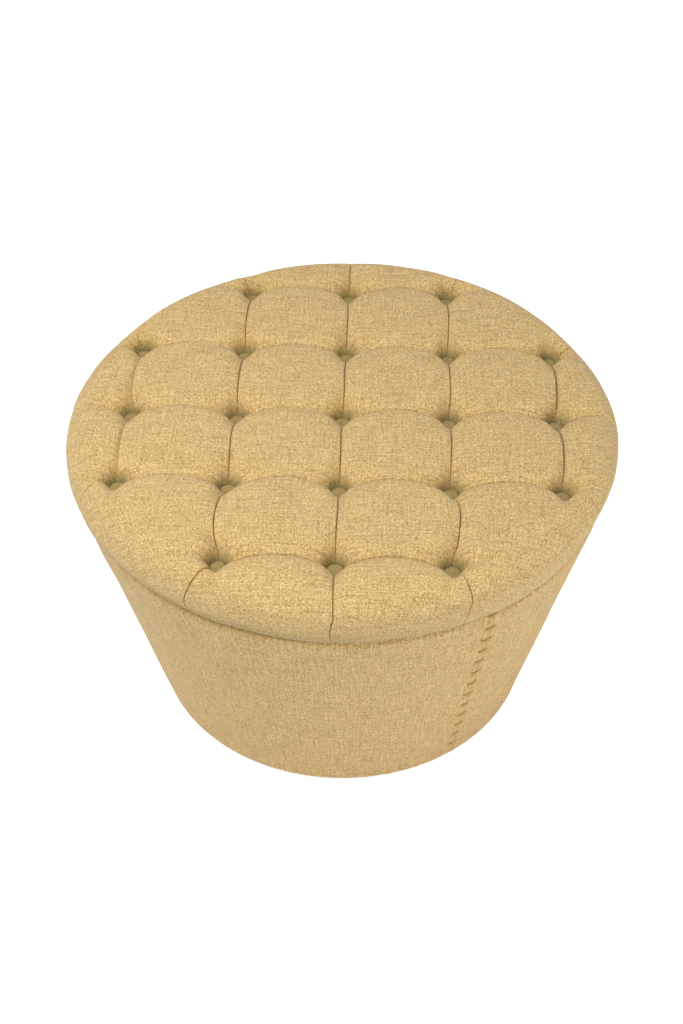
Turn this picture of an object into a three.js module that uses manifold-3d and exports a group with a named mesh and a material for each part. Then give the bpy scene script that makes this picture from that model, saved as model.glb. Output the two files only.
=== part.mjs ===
// Round button-tufted tuffet: an upholstered lid standing on an upholstered, tapered drum.
// Millimetres, +Z up. The origin is on the floor, on the axis of the drum.
import * as THREE from "three";
import { mergeVertices } from "three/addons/utils/BufferGeometryUtils.js";
import Module from "manifold-3d";

const wasm = await Module();
wasm.setup();

// Overall form
const seatHeight = 437; // floor to the crown of the pillows
const rimDiameter = 708; // across the widest point of the lid
const rimRoll = 30; // radius of the rim, from the crown to the widest point
const rimDrop = 51; // from the widest point down to the joint between lid and drum
const rimTuck = 13; // how far the joint lies inside the widest point
const baseDiameter = 511; // across the foot of the drum

// Tufting
const tuftMargin = 20; // from the outermost buttons out to where the rim begins to roll
const tuftDepth = 33; // crown down to the fabric under a button
const creaseDepth = 8; // crown down to the bottom of a pleat, away from the buttons
const tuftSeat = 13; // radius of the flat patch that a button draws down
const pillowEdge = 32; // from a pleat to where a pillow is full
const pillowCorner = 27; // from a button's middle to the corner of a pillow's top

// Layers
const fabric = 1.2;
const batting = 12;
const battingPinched = 9; // under a button
const wrap = 6; // padding round the drum
const wallBoard = 3;
const dustCloth = 0.8;
const fit = 0.3; // clearance between pieces that touch

// Frame
const deckBoard = 15;
const topBoard = 18;
const baseBoard = 18;
const ringWidth = 60;
const strutCount = 4;
const strutDepth = 30;
const strutWidth = 45;

// Closing seam of the drum's cover
const seamAngle = THREE.MathUtils.degToRad(-56.6); // at the top, from +X towards +Y
const seamLean = THREE.MathUtils.degToRad(2.7); // how far it drifts round by the foot
const seamGap = 0.8; // between the two butted edges
const turnUnder = 20; // fabric folded under the foot
const dustMargin = 7; // from the wall's foot in to the edge of the dust cloth

// Buttons and ties
const buttonDiameter = 23;
const buttonHeight = 6.8;
const shankDiameter = 4;
const shankLength = 3;
const twineDiameter = 2.4;
const toggleDiameter = 12;
const tieChannel = 7.2; // corner to corner of the slit that a shank passes
const deckHole = 8;
const tieClearance = 2; // from a toggle to the hems beside it

// Glides
const glideCount = 4;
const glideHeight = 6; // floor to the dust cloth
const glideDiameter = 25;
const glideBevel = 1.4;
const nailDiameter = 3.6;
const nailGrip = 13; // length of nail in the base ring
const nailHole = 4.4;

// Fineness of the round and curved forms
const roundSteps = 48;
const buttonSteps = 12;
const twineSteps = 6;
const holeSteps = 6;
const slitSides = 4;
const cornerSteps = 2;
const overrun = 1; // how far a cutter passes a face

// The plan of the tufting: five rows each way, without the corner buttons
const reach = 2; // rows on either side of the middle one
const rimRadius = rimDiameter / 2;
const crownRadius = rimRadius - rimRoll;
const tuftRadius = crownRadius - tuftMargin; // circle through the eight outermost buttons
const pitch = tuftRadius / Math.hypot(reach, reach - 1);
const pleatAngle = Math.atan2(reach - 1, reach);

// Heights and radii at the joint, where the lid's hem lies on the drum's hem
const widestHeight = seatHeight - rimRoll;
const jointHeight = widestHeight - rimDrop;
const jointRadius = rimRadius - rimTuck;
const underRadius = (rimDrop ** 2 + rimTuck ** 2) / (2 * rimTuck); // arc from widest point to joint
const underSweep = 2 * Math.atan2(rimTuck, rimDrop);
const lidBottom = jointHeight + fit / 2;
const drumTop = jointHeight - fit / 2;
const deckBottom = lidBottom + fabric + fit;
const deckTop = deckBottom + deckBoard;
const deckRadius = jointRadius - fabric - fit - battingPinched - fit;
const hemRadius = tuftRadius + toggleDiameter / 2 + tieClearance;
const frameTop = drumTop - fabric - fit;

// The drum's wall, layer by layer from the outside
const drumBottom = glideHeight + dustCloth + fit;
const frameBottom = drumBottom + fabric + fit;
const drumLean = Math.atan2(jointRadius - baseDiameter / 2, drumTop - drumBottom);
const edgeRadius = fabric + fit + wrap; // the padding rounds the wall's top and bottom edges
const wallOutside = edgeRadius + fit;
const frameOutside = wallOutside + wallBoard + fit;

const materials = {
  linen: new THREE.MeshStandardMaterial({ color: 0xcfb07a, roughness: 0.95 }),
  batting: new THREE.MeshStandardMaterial({ color: 0xf1efe8, roughness: 1 }),
  foam: new THREE.MeshStandardMaterial({ color: 0xe8d9a4, roughness: 1 }),
  plywood: new THREE.MeshStandardMaterial({ color: 0xc9a26d, roughness: 0.75 }),
  pine: new THREE.MeshStandardMaterial({ color: 0xd8b985, roughness: 0.8 }),
  fibreboard: new THREE.MeshStandardMaterial({ color: 0x8a6a45, roughness: 0.85 }),
  twine: new THREE.MeshStandardMaterial({ color: 0xd9c9a0, roughness: 0.9 }),
  dustCloth: new THREE.MeshStandardMaterial({ color: 0x26262a, roughness: 0.95 }),
  nylon: new THREE.MeshStandardMaterial({ color: 0x2b2a28, roughness: 0.45 }),
};

const tuffet = new THREE.Group();

function add(name, geometry, material) {
  const mesh = new THREE.Mesh(geometry, material);
  mesh.name = name;
  tuffet.add(mesh);
  return mesh;
}

function welded(geometry) {
  const bare = geometry.clone();
  bare.deleteAttribute("normal");
  bare.deleteAttribute("uv");
  return mergeVertices(bare);
}

function geometryOf(triangles) {
  const corners = triangles.flat().flatMap((point) => point.toArray());
  const geometry = new THREE.BufferGeometry();
  geometry.setAttribute("position", new THREE.Float32BufferAttribute(corners, 3));
  return mergeVertices(geometry);
}

function solidOf(geometry) {
  const bare = welded(geometry);
  const vertProperties = new Float32Array(bare.attributes.position.array);
  const triVerts = new Uint32Array(bare.index.array);
  return new wasm.Manifold(new wasm.Mesh({ numProp: 3, vertProperties, triVerts }));
}

function geometryOfSolid(solid) {
  const mesh = solid.getMesh();
  const geometry = new THREE.BufferGeometry();
  geometry.setAttribute("position", new THREE.BufferAttribute(mesh.vertProperties, 3));
  geometry.setIndex(new THREE.BufferAttribute(mesh.triVerts, 1));
  return geometry;
}

// Upright holes of one size, cut at each spot from `low` to `high`.
function drilled(geometry, spots, diameter, sides, low, high) {
  let solid = solidOf(geometry);
  for (const spot of spots) {
    const cutter = new THREE.CylinderGeometry(diameter / 2, diameter / 2, high - low, sides);
    cutter.rotateX(Math.PI / 2);
    cutter.translate(spot.x, spot.y, (low + high) / 2);
    solid = solid.subtract(solidOf(cutter));
  }
  return geometryOfSolid(solid);
}

// The lid's shape

const tufts = [];
for (let row = -reach; row <= reach; row++) {
  for (let column = -reach; column <= reach; column++) {
    const isCorner = Math.abs(row) === reach && Math.abs(column) === reach;
    if (!isCorner) tufts.push(new THREE.Vector2(column * pitch, row * pitch));
  }
}

const rollLength = (rimRoll * Math.PI) / 2; // along the fabric, crown to widest point
const widestReach = crownRadius + rollLength;
const jointReach = widestReach + underRadius * underSweep;

// The untufted profile of the lid, from the axis to the widest point, at a distance measured
// along the fabric, with the direction in which it is padded. Towards the rim the padding
// slumps, so its layers lie lower there than they would if each kept its own thickness.
const slumpShare = 0.4;
function rimProfile(distance) {
  if (distance <= crownRadius) return { radius: distance, height: seatHeight, out: 0, up: 1 };
  const turn = (distance - crownRadius) / rimRoll;
  const radius = crownRadius + rimRoll * Math.sin(turn);
  const height = widestHeight + rimRoll * Math.cos(turn);
  return { radius, height, out: Math.sin(turn) ** 2, up: 1 - slumpShare * Math.sin(turn) };
}

// How far a pillow has swelled at a distance from a pleat: 0 on it, 1 where it is full.
const swellPowerShare = 0.45;
const steep = (away, power) => (1 - (1 - Math.min(1, away)) ** 2) ** power;
const swell = (distance) => steep(distance / pillowEdge, swellPowerShare);

function toSegment(point, from, to) {
  const along = to.clone().sub(from);
  const share = point.clone().sub(from).dot(along) / along.lengthSq();
  return point.distanceTo(from.clone().addScaledVector(along, Math.max(0, Math.min(1, share))));
}

const innerTuft = new THREE.Vector2(pitch, pitch);
const edgeTuft = new THREE.Vector2(reach * pitch, pitch);
const pleatEnd = new THREE.Vector2(Math.cos(pleatAngle), Math.sin(pleatAngle)).multiplyScalar(jointReach);

// Swell of the pillow at a place, from the pleats on either side of it. The grid is the same
// in all eight octants, so the place is folded into the first one.
function pillow(x, y) {
  const across = Math.max(Math.abs(x), Math.abs(y));
  const along = Math.min(Math.abs(x), Math.abs(y));
  const place = new THREE.Vector2(across, along);
  const toLine = (value) => Math.abs(value - Math.round(value / pitch) * pitch);
  if (across <= reach * pitch && along <= pitch) return swell(toLine(across)) * swell(toLine(along));
  const outsidePleat = toSegment(place, edgeTuft, pleatEnd);
  if (along < across * Math.tan(pleatAngle)) {
    return swell(across - reach * pitch) * swell(Math.min(along, outsidePleat));
  }
  const mirrored = new THREE.Vector2(along, across);
  const near = Math.min(outsidePleat, toSegment(place, innerTuft, edgeTuft));
  const far = Math.min(toSegment(mirrored, edgeTuft, pleatEnd), toSegment(mirrored, innerTuft, edgeTuft));
  return swell(near) * swell(far);
}

function nearestTuft(place) {
  return tufts.reduce((near, tuft) => (tuft.distanceTo(place) < near.distanceTo(place) ? tuft : near));
}

// How strongly the nearest button draws the fabric down: 1 at its seat, 0 half a pitch away. It
// draws the pleats down further out than the corners of the pillows between them.
const pitPowerShare = 0.46;
const fullerShare = 1.6;
function drawnDown(x, y) {
  const place = new THREE.Vector2(x, y);
  const way = place.clone().sub(nearestTuft(place));
  const fullness = 1 + fullerShare * Math.sin(2 * way.angle()) ** 2;
  const away = (fullness * Math.max(0, way.length() - tuftSeat)) / (pitch / 2 - tuftSeat);
  return 1 - steep(away, pitPowerShare);
}

// How far the fabric lies below the crown. Pleats fade out over the rim, down to the joint.
function sunk(x, y) {
  const past = Math.max(0, Math.hypot(x, y) - crownRadius) / (jointReach - crownRadius);
  const pleat = creaseDepth * (1 - past) ** 2 * (1 - pillow(x, y));
  return THREE.MathUtils.lerp(pleat, tuftDepth, drawnDown(x, y));
}

// A place on the lid, as a function that gives its point on a layer at a depth in the padding.
function onLid(x, y) {
  return (depthAt) => {
    const distance = Math.hypot(x, y);
    const { radius, height, out, up } = rimProfile(distance);
    const depth = sunk(x, y) + depthAt(x, y);
    const scale = distance > 0 ? (radius - out * depth) / distance : 0;
    return new THREE.Vector3(x * scale, y * scale, height - up * depth);
  };
}

const onCircle = (angle, radius, height) =>
  new THREE.Vector3(radius * Math.cos(angle), radius * Math.sin(angle), height);

// Places between two buttons, as shares of the way. A pleat has them at the edges of both seats
// and where it has risen from them, and an edge of the field at the seats and half way.
const midShare = 1 / 2;
const seatShare = tuftSeat / pitch;
const riseShare = 0.27;
const arcSeatShare = tuftSeat / (tuftRadius * (Math.PI / 2 - 2 * pleatAngle));
const pleatShares = [0, seatShare, riseShare, 1 - riseShare, 1 - seatShare, 1];
const edgeShares = [0, seatShare, midShare, 1 - seatShare, 1];
const arcShares = [0, arcSeatShare, midShare, 1 - arcSeatShare, 1];
const coarseShares = [0, midShare, 1];

// One quarter turn at a time keeps the seams between quarters exact.
const quarters = [0, 1, 2, 3];
function turned(point, turns) {
  if (turns === 0) return point;
  return turned(new THREE.Vector2(-point.y, point.x), turns - 1);
}

// A place on the arc that bounds a corner of the field
function arcPoint(share) {
  const angle = THREE.MathUtils.lerp(pleatAngle, Math.PI / 2 - pleatAngle, share);
  if (share === 0) return edgeTuft;
  if (share === 1) return new THREE.Vector2(edgeTuft.y, edgeTuft.x);
  return new THREE.Vector2(Math.cos(angle), Math.sin(angle)).multiplyScalar(tuftRadius);
}

// The pillows of the field, each as its middle and its sides: rows of places from button to
// button, counter-clockwise. Squares fill the grid, and three-sided pillows its corners, out to
// the circle through the outermost buttons.
function pillowsOf(pleat, edge, arc) {
  const sharesOf = (index) => (Math.abs(index) === reach ? edge : pleat);
  const at = (across, along) => new THREE.Vector2(across * pitch, along * pitch);
  const level = (column, row) => sharesOf(row).map((share) => at(column + share, row));
  const upright = (column, row) => sharesOf(column).map((share) => at(column, row + share));
  const pillows = [];
  for (let row = -reach; row < reach; row++) {
    for (let column = -reach; column < reach; column++) {
      const isCorner = [row, column].every((index) => index === -reach || index === reach - 1);
      if (isCorner) continue;
      const [front, right] = [level(column, row), upright(column + 1, row)];
      const [back, left] = [level(column, row + 1).reverse(), upright(column, row).reverse()];
      pillows.push({ middle: at(column + midShare, row + midShare), sides: [front, right, back, left] });
    }
  }
  const middle = innerTuft.clone().lerp(arcPoint(midShare), midShare);
  const inner = reach - 1;
  const sides = [level(inner, inner), arc.map(arcPoint), upright(inner, inner).reverse()];
  for (const turns of quarters) {
    const turnedSides = sides.map((side) => side.map((place) => turned(place, turns)));
    pillows.push({ middle: turned(middle, turns), sides: turnedSides });
  }
  return pillows;
}

const fan = (apex, row) => row.slice(1).map((place, index) => [apex, row[index], place]);

// Triangles of a coarse pillow: one slope from each side up to its middle.
const coarsePillow = ({ middle, sides }) => sides.flatMap((side) => fan(middle, side));

// Triangles of a pillow: a flat seat in each corner, steep flanks up to the corners of its top,
// and the top, which rises a little to its middle.
function finePillow({ middle, sides }) {
  const before = (index) => sides.at(index - 1).at(-2);
  const ways = sides.map(([corner, after], index) => {
    const way = (place) => place.clone().sub(corner).normalize();
    return way(after).add(way(before(index))).normalize();
  });
  const inwards = (index, distance) => sides[index][0].clone().addScaledVector(ways[index], distance);
  return sides.flatMap((side, index) => {
    const next = (index + 1) % sides.length;
    const [seat, nextSeat] = [inwards(index, tuftSeat), inwards(next, tuftSeat)];
    const [top, nextTop] = [inwards(index, pillowCorner), inwards(next, pillowCorner)];
    const flank = [seat, ...side.slice(1, -1), nextSeat];
    const half = Math.floor((flank.length - 1) / 2);
    return [
      ...fan(side[0], [side[1], seat, before(index)]),
      ...fan(top, flank.slice(0, half + 1)),
      [top, flank[half], nextTop],
      ...fan(nextTop, flank.slice(half)),
      [middle, top, nextTop],
    ];
  });
}

// The edge of the tufted field, once round from +X.
function fieldEdge(edge, arc) {
  const quarter = [
    ...edge.slice(0, -1).map((share) => new THREE.Vector2(reach * pitch, share * pitch)),
    ...arc.slice(0, -1).map(arcPoint),
    ...edge.slice(0, -1).map((share) => new THREE.Vector2((1 - share) * pitch, reach * pitch)),
  ];
  return quarters.flatMap((turns) => quarter.map((place) => turned(place, turns)));
}

// Angles round the rim: evenly spaced between one radial pleat and the next.
const pleatAngles = [0, pleatAngle, Math.PI / 2 - pleatAngle];
const rimAngles = quarters.flatMap((quarter) =>
  pleatAngles.flatMap((start, index) => {
    const end = [...pleatAngles, Math.PI / 2][index + 1];
    const steps = (index === 1 ? arcShares : edgeShares).length - 1;
    return Array.from({ length: steps }, (_, step) => {
      return (quarter * Math.PI) / 2 + THREE.MathUtils.lerp(start, end, step / steps);
    });
  }),
);

const fromAngle = (distance) => (angle) => onLid(distance * Math.cos(angle), distance * Math.sin(angle));

// The rings that carry the field over the rim: the outer edge of the outermost seats, the
// shoulder and the widest point.
const fineEdge = fieldEdge(edgeShares, arcShares);
const seatRing = fineEdge.map((place) => {
  const out = place.clone().setLength(place.length() + tuftSeat);
  const tuft = nearestTuft(place);
  const isSeat = tuft.distanceTo(place) < tuftSeat + fit;
  const drawn = isSeat ? out.sub(tuft).setLength(tuftSeat).add(tuft) : out;
  return onLid(drawn.x, drawn.y);
});
const shoulderRing = rimAngles.map(fromAngle(crownRadius + rollLength / 2));
const widestRing = rimAngles.map(fromAngle(widestReach));

// Where the fabric turns under the deck, its layers meet in a mitre.
const mitre = (1 - Math.sin(underSweep)) / Math.cos(underSweep);
const turnRing = rimAngles.map(
  (angle) => (depthAt) => onCircle(angle, jointRadius - depthAt() * mitre, lidBottom + depthAt()),
);
const hemRing = rimAngles.map((angle) => (depthAt) => onCircle(angle, hemRadius, lidBottom + depthAt()));

// A band between two rings. Its diagonals alternate, so that it is alike on both sides of a pleat.
function band(inner, outer) {
  return outer.flatMap((place, index) => {
    const next = (index + 1) % outer.length;
    const quad = [inner[index], place, outer[next], inner[next]];
    if (index % 2 === 1) quad.push(quad.shift());
    const [a, b, c, d] = quad;
    return [[a, b, c], [a, c, d]];
  });
}

// A band whose outer ring has two places for each place of the inner one.
function wideningBand(inner, outer) {
  return inner.flatMap((place, index) => {
    const next = inner[(index + 1) % inner.length];
    const [first, middle, last] = [0, 1, 2].map((step) => outer[(2 * index + step) % outer.length]);
    return [[place, first, middle], [place, middle, next], [next, middle, last]];
  });
}

const placed = (triangles) => triangles.map((corners) => corners.map((place) => onLid(place.x, place.y)));
const onLidEach = (places) => places.map((place) => onLid(place.x, place.y));
const fineField = placed(pillowsOf(pleatShares, edgeShares, arcShares).flatMap(finePillow));
const coarseField = placed(pillowsOf(coarseShares, coarseShares, coarseShares).flatMap(coarsePillow));
const fineRings = [onLidEach(fineEdge), seatRing, shoulderRing, widestRing];
const rimBands = (rings) => rings.slice(1).flatMap((ring, index) => band(rings[index], ring));
const fineSkin = [...fineField, ...rimBands(fineRings)];
const coarseSkin = [
  ...coarseField,
  ...wideningBand(onLidEach(fieldEdge(coarseShares, coarseShares)), seatRing),
  ...rimBands([seatRing, shoulderRing, widestRing]),
];

const at = (triangles, depthAt) => triangles.map((corners) => corners.map((place) => place(depthAt)));
const flipped = (triangles) => triangles.map((corners) => [...corners].reverse());
const fixed = (ring, depthAt) => ring.map((place) => place(depthAt));

// A flat face that closes a ring.
function disc(ring) {
  const middle = new THREE.Vector3(0, 0, ring[0].z);
  return ring.map((point, index) => [middle, point, ring[(index + 1) % ring.length]]);
}

// The layers of the lid, as depths below the outside of the cover
const pinched = (x, y) => THREE.MathUtils.lerp(batting, battingPinched, drawnDown(x, y));
const coverOutside = () => 0;
const coverInside = () => fabric;
const battingOutside = () => fabric + fit;
const battingInside = (x, y) => fabric + fit + pinched(x, y);
const foamOutside = (x, y) => battingInside(x, y) + fit;

function buildCover() {
  const skin = [...fineSkin, ...band(widestRing, turnRing), ...band(turnRing, hemRing)];
  const hemOutside = fixed(hemRing, coverOutside);
  const hemInside = fixed(hemRing, coverInside);
  return geometryOf([
    ...at(skin, coverOutside),
    ...flipped(at(skin, coverInside)),
    ...band(hemOutside, hemInside),
  ]);
}

function buildBatting() {
  const foot = (depthAt) => (angle) => onCircle(angle, jointRadius - depthAt() * mitre, deckBottom);
  const outerFoot = rimAngles.map(foot(battingOutside));
  const deckEdge = (height) => rimAngles.map((angle) => onCircle(angle, deckRadius + fit, height));
  return geometryOf([
    ...at(fineSkin, battingOutside),
    ...band(fixed(widestRing, battingOutside), outerFoot),
    ...band(outerFoot, deckEdge(deckBottom)),
    ...band(deckEdge(deckBottom), deckEdge(deckTop + fit)),
    ...band(deckEdge(deckTop + fit), fixed(widestRing, battingInside)),
    ...flipped(at(coarseSkin, battingInside)),
  ]);
}

function buildFoam() {
  const foot = rimAngles.map((angle) => onCircle(angle, deckRadius, deckTop + fit));
  return geometryOf([
    ...at(coarseSkin, foamOutside),
    ...flipped(band(foot, fixed(widestRing, foamOutside))),
    ...flipped(disc(foot)),
  ]);
}

// A flat board with upright edges, pierced at each spot.
function board(outline, low, thickness, spots, holeDiameter) {
  const shape = new THREE.Shape(outline);
  for (const spot of spots) {
    const edge = circle(holeDiameter / 2, holeSteps).map((point) => point.add(spot));
    shape.holes.push(new THREE.Path(edge));
  }
  const geometry = new THREE.ExtrudeGeometry(shape, { depth: thickness, bevelEnabled: false });
  return geometry.translate(0, 0, low);
}

function circle(radius, steps) {
  const angles = Array.from({ length: steps }, (_, step) => (2 * Math.PI * step) / steps);
  return angles.map((angle) => new THREE.Vector2(radius * Math.cos(angle), radius * Math.sin(angle)));
}

// A solid of revolution from (radius, height) points, its outer side listed upwards.
function revolved(points, steps) {
  const profile = points.map(([radius, height]) => new THREE.Vector2(radius, height));
  return new THREE.LatheGeometry(profile, steps).rotateX(Math.PI / 2);
}

// The drum's wall

// Radius of the drum at a height, at a depth below the outside of its cover.
function drumRadius(height, depth) {
  return baseDiameter / 2 + (height - drumBottom) * Math.tan(drumLean) - depth / Math.cos(drumLean);
}

const footCentre = new THREE.Vector2(0, drumBottom + edgeRadius);
footCentre.x = drumRadius(footCentre.y, edgeRadius);
const shoulderCentre = new THREE.Vector2(0, drumTop - edgeRadius);
shoulderCentre.x = drumRadius(shoulderCentre.y, edgeRadius);
const wallTop = shoulderCentre.y + edgeRadius / 2;

// The section of one layer, from under the foot up the wall and over the shoulder.
function drumSection(depth) {
  const arc = (centre, from, to) =>
    Array.from({ length: cornerSteps + 1 }, (_, step) => {
      const angle = THREE.MathUtils.lerp(from, to, step / cornerSteps);
      const away = edgeRadius - depth;
      return [centre.x + away * Math.cos(angle), centre.y + away * Math.sin(angle)];
    });
  return [
    ...arc(footCentre, -Math.PI / 2, -drumLean),
    ...arc(shoulderCentre, -drumLean, Math.PI / 2),
  ];
}

// A sheet wrapped once round the drum, with its two ends butted at the closing seam. Every
// layer splits its steps along the same diagonals, so that the layers stay parallel.
function wrapped(section) {
  const gapAngle = seamGap / (baseDiameter / 2);
  const point = ([radius, height], step) => {
    const lean = (seamLean * (drumTop - height)) / (drumTop - drumBottom);
    const sweep = gapAngle / 2 + (step / roundSteps) * (2 * Math.PI - gapAngle);
    return onCircle(seamAngle + lean + sweep, radius, height);
  };
  const triangles = [];
  section.forEach((corner, index) => {
    const next = section[(index + 1) % section.length];
    for (let step = 0; step < roundSteps; step++) {
      const quad = [point(corner, step), point(corner, step + 1), point(next, step + 1), point(next, step)];
      const isDownward = next[1] < corner[1];
      if (isDownward) quad.push(quad.shift());
      const [a, b, c, d] = quad;
      triangles.push([a, b, c], [a, c, d]);
    }
  });
  const flat = section.map(([radius, height]) => new THREE.Vector2(radius, height));
  for (const corners of THREE.ShapeUtils.triangulateShape(flat, [])) {
    triangles.push(corners.map((index) => point(section[index], 0)));
    triangles.push([...corners].reverse().map((index) => point(section[index], roundSteps)));
  }
  return geometryOf(triangles);
}

function buildSideCover() {
  const footHem = footCentre.x - turnUnder;
  return wrapped([
    [footHem, drumBottom],
    ...drumSection(0),
    [hemRadius, drumTop],
    [hemRadius, drumTop - fabric],
    ...drumSection(fabric).reverse(),
    [footHem, drumBottom + fabric],
  ]);
}

// The padding rounds over the wall's edges and thins out under the cover's folds.
function buildSideWrap() {
  const outside = drumSection(fabric + fit).slice(0, -1);
  const [, top] = outside[outside.length - 1];
  const inside = (height) => [drumRadius(height, edgeRadius), height];
  return wrapped([inside(frameBottom), ...outside, inside(top)]);
}

function buildWallPanel() {
  const inside = wallOutside + wallBoard;
  return wrapped([
    [drumRadius(frameBottom, inside), frameBottom],
    [drumRadius(frameBottom, wallOutside), frameBottom],
    [drumRadius(wallTop, wallOutside), wallTop],
    [drumRadius(wallTop, inside), wallTop],
  ]);
}

// The frame

// A ring's edge stays inside the flats of the wall, which is bent round it in straight steps.
const flatShare = Math.cos(Math.PI / roundSteps);
const frameRadius = (height) => drumRadius(height, frameOutside) * flatShare;

function ring(low, thickness) {
  const inner = frameRadius(low) - ringWidth;
  const high = low + thickness;
  const section = [[inner, low], [frameRadius(low), low], [frameRadius(high), high], [inner, high]];
  return revolved([...section, section[0]], roundSteps);
}

const topRingBottom = frameTop - topBoard;
const baseRingTop = frameBottom + baseBoard;
const glideRadius = frameRadius(frameBottom) - ringWidth / 2;
const quarterTurns = (count, first) =>
  Array.from({ length: count }, (_, index) => first + (2 * Math.PI * index) / count);
const glideAngles = quarterTurns(glideCount, Math.PI / glideCount);
const glideSpots = glideAngles.map((angle) =>
  new THREE.Vector2(glideRadius * Math.cos(angle), glideRadius * Math.sin(angle)),
);

function buildStrut(angle) {
  const low = baseRingTop + fit;
  const high = topRingBottom - fit;
  const footRadius = frameRadius(low);
  const sagitta = footRadius - Math.sqrt(footRadius ** 2 - (strutWidth / 2) ** 2);
  const outer = (height) => frameRadius(height) - sagitta;
  const section = new THREE.Shape([
    new THREE.Vector2(outer(low) - strutDepth, low),
    new THREE.Vector2(outer(low), low),
    new THREE.Vector2(outer(high), high),
    new THREE.Vector2(outer(high) - strutDepth, high),
  ]);
  const geometry = new THREE.ExtrudeGeometry(section, { depth: strutWidth, bevelEnabled: false });
  return geometry.translate(0, 0, -strutWidth / 2).rotateX(Math.PI / 2).rotateZ(angle);
}

// A domed button shell with a flat back and a shank that passes the cover.
function buildButton() {
  const radius = buttonDiameter / 2;
  const backShare = 0.8;
  const rimHeightShare = 0.42;
  const crownShare = 0.6;
  const crownHeightShare = 0.88;
  return revolved(
    [
      [0, -shankLength],
      [shankDiameter / 2, -shankLength],
      [shankDiameter / 2, 0],
      [radius * backShare, 0],
      [radius, buttonHeight * rimHeightShare],
      [radius * crownShare, buttonHeight * crownHeightShare],
      [0, buttonHeight],
    ],
    buttonSteps,
  );
}

// Twine from a shank down to a flat toggle under the deck.
function buildTie(top) {
  const toggleTop = deckBottom - fit;
  const toggleBottom = frameTop + fit;
  return revolved(
    [
      [0, toggleBottom],
      [toggleDiameter / 2, toggleBottom],
      [toggleDiameter / 2, toggleTop],
      [twineDiameter / 2, toggleTop],
      [twineDiameter / 2, top],
      [0, top],
    ],
    twineSteps,
  );
}

// A nylon glide: a flat foot on a nail.
function buildGlide() {
  const radius = glideDiameter / 2;
  const headTop = glideHeight - fit;
  const nail = nailDiameter / 2;
  const tip = frameBottom + nailGrip;
  return revolved(
    [
      [0, 0],
      [radius - glideBevel, 0],
      [radius, glideBevel],
      [radius, headTop - glideBevel],
      [radius - glideBevel, headTop],
      [nail, headTop],
      [nail, tip - nailDiameter],
      [0, tip],
    ],
    buttonSteps,
  );
}

// The lid, from the deck up
const slit = [tufts, tieChannel, slitSides, deckTop - overrun, seatHeight];
const deckOutline = rimAngles.map((angle) => new THREE.Vector2(Math.cos(angle), Math.sin(angle)));
deckOutline.forEach((point) => point.multiplyScalar(deckRadius));
add("deck_board", board(deckOutline, deckBottom, deckBoard, tufts, deckHole), materials.plywood);
add("foam_pad", drilled(buildFoam(), ...slit), materials.foam);
add("top_batting", drilled(buildBatting(), ...slit), materials.batting);
add("top_cover", drilled(buildCover(), ...slit), materials.linen);

const buttonBack = seatHeight - tuftDepth + fit;
tufts.forEach((tuft, index) => {
  const number = String(index + 1).padStart(2, "0");
  const button = add(`button_${number}`, buildButton(), materials.linen);
  button.position.set(tuft.x, tuft.y, buttonBack);
  const tie = add(`tuft_tie_${number}`, buildTie(buttonBack - shankLength - fit), materials.twine);
  tie.position.set(tuft.x, tuft.y, 0);
});

// The drum, from the frame out
const nailCut = [glideSpots, nailHole, buttonSteps, frameBottom - overrun, baseRingTop + overrun];
add("base_ring", drilled(ring(frameBottom, baseBoard), ...nailCut), materials.plywood);
add("top_ring", ring(topRingBottom, topBoard), materials.plywood);
quarterTurns(strutCount, 0).forEach((angle, index) => {
  add(`strut_${index + 1}`, buildStrut(angle), materials.pine);
});
add("wall_panel", buildWallPanel(), materials.fibreboard);
add("side_wrap", buildSideWrap(), materials.batting);
add("side_cover", buildSideCover(), materials.linen);

const dustRadius = footCentre.x - dustMargin;
const dustOutline = circle(dustRadius, roundSteps);
add("dust_cover", board(dustOutline, glideHeight, dustCloth, glideSpots, nailHole), materials.dustCloth);
glideSpots.forEach((spot, index) => {
  const glide = add(`glide_${index + 1}`, buildGlide(), materials.nylon);
  glide.position.set(spot.x, spot.y, 0);
});

export default tuffet;
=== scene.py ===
import math

import bmesh
import bpy
import numpy as np
from mathutils import Matrix, Vector, noise


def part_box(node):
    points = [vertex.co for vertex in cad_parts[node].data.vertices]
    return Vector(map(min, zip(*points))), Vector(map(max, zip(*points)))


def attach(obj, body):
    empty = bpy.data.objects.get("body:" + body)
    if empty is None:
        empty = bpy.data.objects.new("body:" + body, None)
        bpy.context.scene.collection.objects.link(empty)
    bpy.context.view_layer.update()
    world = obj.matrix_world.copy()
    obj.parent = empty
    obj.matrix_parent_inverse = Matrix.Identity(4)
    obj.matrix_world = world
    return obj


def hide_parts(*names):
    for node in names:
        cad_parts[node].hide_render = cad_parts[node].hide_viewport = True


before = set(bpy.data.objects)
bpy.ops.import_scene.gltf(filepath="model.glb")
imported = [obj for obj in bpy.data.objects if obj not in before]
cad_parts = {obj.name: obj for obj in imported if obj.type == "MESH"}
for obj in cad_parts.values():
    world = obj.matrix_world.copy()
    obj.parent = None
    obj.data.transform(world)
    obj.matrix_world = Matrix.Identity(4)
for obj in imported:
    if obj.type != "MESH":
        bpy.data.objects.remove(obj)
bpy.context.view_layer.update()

# Deck board
# A round plywood board, 15 mm thick, that carries the lid. Twenty-one holes let the tufting
# twine through. It stays as the frame has it and gets birch veneer with a ply edge.


def wired(tree, kind, inputs=None, **settings):
    """Adds a shader node. An input is a constant or the output of another node."""
    made = tree.nodes.new("ShaderNode" + kind)
    for name, value in settings.items():
        setattr(made, name, value)
    for name, value in (inputs or {}).items():
        if isinstance(value, bpy.types.NodeSocket):
            tree.links.new(value, made.inputs[name])
        else:
            made.inputs[name].default_value = value
    return made


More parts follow.
